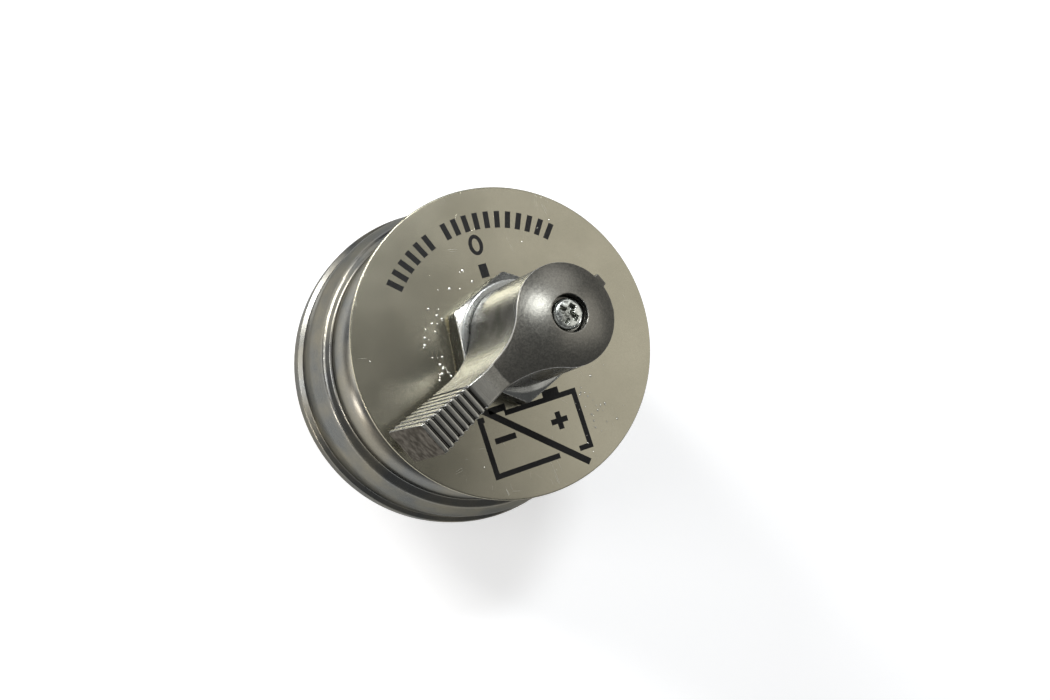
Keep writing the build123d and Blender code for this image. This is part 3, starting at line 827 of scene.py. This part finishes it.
def drive_screw(look):
    """Pan-headed screw with a cross recess; its shank is inside the lever."""
    head, shank, recess = 3.1, 2.3, 1.3
    rim, dish, drop = 0.7, 0.25, 0.55
    top, seat = SCREW_TOP, SCREW_TOP - 2.6
    shank_end = seat - 6
    segments, rings = 160, 44
    turn = math.radians(LEVER_ANGLE + 20)
    rows = [circle(shank, shank_end, segments), circle(shank, seat, segments), circle(head, seat, segments)]
    for step in range(rings):
        radius = head * (1 - step / rings)
        edge = max(0.0, (radius - (head - rim)) / rim)
        level = top - dish * (radius / head) ** 2 - drop * (1 - math.sqrt(max(0.0, 1 - edge**2)))
        row = []
        for s in range(segments):
            angle = math.tau * s / segments
            deep = cross_recess(radius * math.cos(angle - turn), radius * math.sin(angle - turn))
            row.append(polar(radius, angle, level - recess * deep))
        rows.append(row)
    points, faces = open_rows(rows)
    points += [(0, 0, top - recess), (0, 0, shank_end)]
    last = (len(rows) - 1) * segments
    for s in range(segments):
        t = (s + 1) % segments
        faces.append((last + s, last + t, len(points) - 2))
        faces.append((t, s, len(points) - 1))
    add_piece("cross_screw", points, faces, "rotor", "screw_steel", look, ["lever_screw"], sharp=50)


# --- Stage -----------------------------------------------------------------------------------
def add_floor(look):
    """A square floor under the studs' free ends."""
    half = 6000.0
    corners = ((-half, -half), (half, -half), (half, half), (-half, half))
    mesh = bpy.data.meshes.new("floor")
    mesh.from_pydata([Vector((x, y, STUD_END)) * MM for x, y in corners], [], [(0, 1, 2, 3)])
    mesh.materials.append(look)
    floor = bpy.data.objects.new("floor", mesh)
    scene.collection.objects.link(floor)


def add_light(name, place, aim, size, power, colour=(1, 1, 1)):
    """A soft rectangular light at a place, turned to an aim, both in millimetres."""
    data = bpy.data.lights.new(name, "AREA")
    data.shape = "RECTANGLE"
    data.size, data.size_y = size[0] * MM, size[1] * MM
    data.energy = power
    data.color = colour
    light = bpy.data.objects.new(name, data)
    light.location = Vector(place) * MM
    light.rotation_euler = (Vector(aim) - Vector(place)).to_track_quat("-Z", "Y").to_euler()
    scene.collection.objects.link(light)


def add_camera():
    """A camera above and to the left of the plate, turned about its own axis as a hand-held one is."""
    aim = Vector((3.5, -3.1, PLATE_FRONT))
    distance, azimuth, elevation, roll_from_y = 266.2, 184.42, 69.17, 18.9
    flat = math.cos(math.radians(elevation))
    back = Vector((
        flat * math.cos(math.radians(azimuth)),
        flat * math.sin(math.radians(azimuth)),
        math.sin(math.radians(elevation)),
    ))
    hint = Vector((math.sin(math.radians(roll_from_y)), math.cos(math.radians(roll_from_y)), 0))
    right = hint.cross(back).normalized()
    up = back.cross(right)
    data = bpy.data.cameras.new("camera")
    data.lens = 41.14
    data.sensor_width = 36.0
    data.clip_start = 0.01
    camera = bpy.data.objects.new("camera", data)
    turn = Matrix((right, up, back)).transposed().to_4x4()
    camera.matrix_world = Matrix.Translation((aim + back * distance) * MM) @ turn
    scene.collection.objects.link(camera)
    scene.camera = camera


def add_world(colour, strength):
    """An even light from all round."""
    world = bpy.data.worlds.new("studio")
    world.use_nodes = True
    background = world.node_tree.nodes["Background"]
    background.inputs["Color"].default_value = (*colour, 1)
    background.inputs["Strength"].default_value = strength
    scene.world = world


# --- Building --------------------------------------------------------------------------------
steel = turned_steel("nut steel", (0.40, 0.40, 0.375), 0.22)
looks = {
    "bright_zinc_steel": drawn_zinc(),
    "plated_thread": turned_steel("plated thread", (0.52, 0.51, 0.48), 0.26),
    "nut_steel": steel,
    "pin_steel": turned_steel("pin steel", (0.50, 0.50, 0.49), 0.3),
    "plain_steel": plain_metal("plain steel", (0.46, 0.45, 0.43), 0.32, (0.30, 0.28, 0.26)),
    "ball_steel": plain_metal("ball steel", (0.62, 0.62, 0.62), 0.08, (0.56, 0.56, 0.57)),
    "spring_steel": plain_metal("spring steel", (0.22, 0.22, 0.23), 0.35, (0.12, 0.11, 0.11)),
    "screw_steel": screw_steel(),
    "cast_zinc": cast_zinc(),
    "satin_aluminium": satin_plate(),
    "copper": plain_metal("copper", (0.66, 0.34, 0.20), 0.28, (0.40, 0.19, 0.12)),
    "brass": plain_metal("brass", (0.70, 0.54, 0.26), 0.24, (0.50, 0.36, 0.18)),
    "phenolic": moulded("phenolic", (0.022, 0.018, 0.016), (0.035, 0.028, 0.022), 0.38, 0.3, 0.012),
    "fibre": moulded("fibre", (0.30, 0.12, 0.07), (0.38, 0.17, 0.10), 0.6, 0.4, 0.03),
    "rubber": moulded("rubber", (0.02, 0.02, 0.02), (0.03, 0.03, 0.03), 0.62, 0.25, 0.015),
}
for part in frame["record"]["subparts"]:
    node = frame["nodes"][part["node"]]
    node.data.materials.clear()
    node.data.materials.append(looks[part["material_slot"]])

face_plate(looks["satin_aluminium"])
plate_print(ink())
film_blisters(bubble_film())
mounting_nuts(steel)
threaded_stem(looks["plated_thread"])
terminal_studs(looks["copper"])
stud_nuts(looks["brass"])
cast_lever(looks["cast_zinc"])
drive_screw(looks["screw_steel"])

add_floor(floor_paint())
add_light("key", (66, 304, 730), (0, 0, 0), (150, 100), 1.75, (0.92, 0.96, 1.0))
add_light("right panel", (560, -20, 660), (0, 0, 0), (520, 700), 1.08, (1.0, 0.985, 0.95))
add_light("side window", (-333, 459, 300), (0, 0, -20), (190, 230), 3.2)
add_light("left fill", (-470, 140, 330), (0, 0, -20), (200, 200), 0.7)
add_light("back right", (400, 460, 510), (0, 0, 0), (380, 380), 0.5)
add_light("low left", (-600, -70, 60), (0, 0, -20), (30, 50), 0.6, (1.0, 0.93, 0.85))
add_world((0.80, 0.82, 0.85), 0.2)
add_camera()
